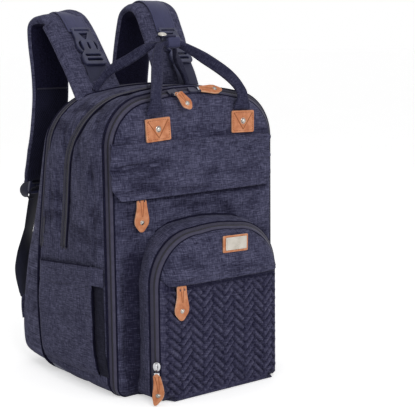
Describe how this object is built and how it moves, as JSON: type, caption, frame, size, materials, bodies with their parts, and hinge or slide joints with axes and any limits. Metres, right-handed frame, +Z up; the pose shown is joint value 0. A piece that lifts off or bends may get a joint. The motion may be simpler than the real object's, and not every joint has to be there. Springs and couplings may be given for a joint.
{
  "type": "diaper backpack",
  "caption": "Tall arched fabric backpack with a zipped front pocket, two front flaps, twin top grips, buckled shoulder straps and open side pockets",
  "frame": {"origin": "centre of the base on the floor", "axes": "X to the right seen from the front, Y towards the wearer, Z up"},
  "size_m": [0.322, 0.3927, 0.5413],
  "materials": {
    "shell_fabric": "heather woven navy",
    "zip_fabric": "smooth zip tape",
    "lining_fabric": "thin lining",
    "padding_fabric": "dark mesh over padding",
    "webbing": "navy webbing",
    "board": "stiff board",
    "leather": "tan leather with cut edges",
    "pull_leather": "tan leather pull with metal barrel and rivet",
    "nickel": "polished nickel",
    "slider_metal": "plated zip slider",
    "buckle_plastic": "moulded navy plastic"
  },
  "bodies": {
    "bag": {"gusset_shell": "shell_fabric", "lining": "lining_fabric", "back_panel": "shell_fabric", "back_mesh_pads": "padding_fabric", "rear_piping": "zip_fabric", "base_board": "board", "divider": "lining_fabric", "organiser_pocket": "lining_fabric", "front_zip_tape": "zip_fabric", "front_panel": "shell_fabric", "middle_zip_tape": "zip_fabric", "left_side_pocket": "shell_fabric", "right_side_pocket": "shell_fabric", "pocket_gusset": "shell_fabric", "arch_zip_tape": "zip_fabric", "upper_zip_tape": "zip_fabric", "corner_tabs": "webbing", "left_shoulder_strap": "padding_fabric", "left_strap_webbing": "webbing", "left_male_buckle": "buckle_plastic", "left_buckle_webbing": "webbing", "left_adjuster_webbing": "webbing", "right_shoulder_strap": "padding_fabric", "right_strap_webbing": "webbing", "right_male_buckle": "buckle_plastic", "right_buckle_webbing": "webbing", "right_adjuster_webbing": "webbing"},
    "front_top": {"front_panel_top": "shell_fabric", "front_zip_top_tape": "zip_fabric", "left_patch": "leather", "right_patch": "leather", "patch_rivets": "nickel"},
    "front_handle": {"front_handle": "shell_fabric", "handle_wrap": "shell_fabric"},
    "wrap_flap": {"wrap_flap": "shell_fabric", "wrap_snap": "nickel"},
    "rear_handle": {"rear_handle": "shell_fabric"},
    "upper_flap": {"upper_flap": "shell_fabric"},
    "upper_slider": {"upper_slider": "slider_metal"},
    "upper_pull": {"upper_pull": "pull_leather"},
    "pocket_front": {"pocket_face": "shell_fabric", "arch_zip_face_tape": "zip_fabric", "quilt_zip_tape": "zip_fabric", "label_leather": "leather", "label_plate": "nickel"},
    "pocket_flap": {"pocket_flap": "shell_fabric"},
    "quilt_slider": {"quilt_slider": "slider_metal"},
    "quilt_pull": {"quilt_pull": "pull_leather"},
    "arch_slider": {"arch_slider": "slider_metal"},
    "arch_pull": {"arch_pull": "pull_leather"},
    "front_left_slider": {"front_left_slider": "slider_metal"},
    "front_left_pull": {"front_left_pull": "pull_leather"},
    "front_right_slider": {"front_right_slider": "slider_metal"},
    "front_right_pull": {"front_right_pull": "pull_leather"},
    "middle_slider": {"middle_slider": "slider_metal"},
    "middle_pull": {"middle_pull": "pull_leather"},
    "left_female": {"left_female_buckle": "buckle_plastic"},
    "right_female": {"right_female_buckle": "buckle_plastic"},
    "left_lock": {"left_ladder_lock": "buckle_plastic"},
    "right_lock": {"right_ladder_lock": "buckle_plastic"}
  },
  "joints": [
    {"name": "front_top_fold", "type": "hinge", "parent": "bag", "child": "front_top", "pos_m": [0, -0.1015, 0.358], "axis": [1, 0, 0], "range_deg": [0, 65]},
    {"name": "front_handle_fold", "type": "hinge", "parent": "front_top", "child": "front_handle", "pos_m": [0, -0.1038, 0.398], "axis": [1, 0, 0], "range_deg": [0, 70]},
    {"name": "wrap_open", "type": "hinge", "parent": "front_handle", "child": "wrap_flap", "pos_m": [0, -0.0358, 0.5021], "axis": [1, 0, 0], "range_deg": [0, 150]},
    {"name": "rear_handle_tilt", "type": "hinge", "parent": "bag", "child": "rear_handle", "pos_m": [0, 0.0362, 0.4215], "axis": [1, 0, 0], "range_deg": [-12, 0]},
    {"name": "upper_flap_lift", "type": "hinge", "parent": "bag", "child": "upper_flap", "pos_m": [0, -0.1078, 0.357], "axis": [-1, 0, 0], "range_deg": [0, 75]},
    {"name": "upper_zip_slide", "type": "slide", "parent": "bag", "child": "upper_slider", "axis": [1, 0, 0], "range_m": [0, 0.203]},
    {"name": "upper_pull_swing", "type": "hinge", "parent": "upper_slider", "child": "upper_pull", "pos_m": [-0.105, -0.1038, 0.2773], "axis": [-1, 0, 0], "range_deg": [0, 80]},
    {"name": "pocket_open", "type": "hinge", "parent": "bag", "child": "pocket_front", "pos_m": [0, -0.1545, 0.004], "axis": [1, 0, 0], "range_deg": [0, 70]},
    {"name": "pocket_flap_lift", "type": "hinge", "parent": "pocket_front", "child": "pocket_flap", "pos_m": [0, -0.1638, 0.19], "axis": [-1, 0, 0], "range_deg": [0, 75]},
    {"name": "quilt_zip_slide", "type": "slide", "parent": "pocket_front", "child": "quilt_slider", "axis": [1, 0, 0], "range_m": [0, 0.15]},
    {"name": "quilt_pull_swing", "type": "hinge", "parent": "quilt_slider", "child": "quilt_pull", "pos_m": [-0.08, -0.1598, 0.1588], "axis": [-1, 0, 0], "range_deg": [0, 80]},
    {"name": "arch_zip_slide", "type": "slide", "parent": "pocket_front", "child": "arch_slider", "axis": [0, 0, 1], "range_m": [0, 0.11]},
    {"name": "arch_pull_swing", "type": "hinge", "parent": "arch_slider", "child": "arch_pull", "pos_m": [-0.11076, -0.14129, 0.0423], "axis": [-0.6585, 0.7526, 0], "range_deg": [0, 60]},
    {"name": "front_left_zip_slide", "type": "slide", "parent": "front_top", "child": "front_left_slider", "axis": [-0.9924, 0, -0.1232], "range_m": [0, 0.024]},
    {"name": "front_left_pull_swing", "type": "hinge", "parent": "front_left_slider", "child": "front_left_pull", "pos_m": [-0.03793, -0.09446, 0.42069], "axis": [-0.9924, 0, -0.1232], "range_deg": [0, 80]},
    {"name": "front_right_zip_slide", "type": "slide", "parent": "front_top", "child": "front_right_slider", "axis": [0.9998, 0, -0.0222], "range_m": [0, 0.024]},
    {"name": "front_right_pull_swing", "type": "hinge", "parent": "front_right_slider", "child": "front_right_pull", "pos_m": [0.00678, -0.08942, 0.42669], "axis": [-0.0146, -0.7525, -0.6584], "range_deg": [0, 140]},
    {"name": "middle_zip_slide", "type": "slide", "parent": "bag", "child": "middle_slider", "axis": [-0.9911, 0, -0.1331], "range_m": [0, 0.024]},
    {"name": "middle_pull_swing", "type": "hinge", "parent": "middle_slider", "child": "middle_pull", "pos_m": [-0.04269, -0.0517, 0.43427], "axis": [-0.9911, 0, -0.1331], "range_deg": [0, 8]},
    {"name": "left_buckle_release", "type": "slide", "parent": "bag", "child": "left_female", "axis": [0, -0.6376, -0.7704], "range_m": [0, 0.026], "deforming": ["left_buckle_webbing"]},
    {"name": "left_lock_tilt", "type": "hinge", "parent": "bag", "child": "left_lock", "pos_m": [-0.088, 0.20959, 0.28445], "axis": [1, 0, 0], "range_deg": [0, 35]},
    {"name": "right_buckle_release", "type": "slide", "parent": "bag", "child": "right_female", "axis": [0, -0.6376, -0.7704], "range_m": [0, 0.026], "deforming": ["right_buckle_webbing"]},
    {"name": "right_lock_tilt", "type": "hinge", "parent": "bag", "child": "right_lock", "pos_m": [0.088, 0.20959, 0.28445], "axis": [1, 0, 0], "range_deg": [0, 35]}
  ]
}
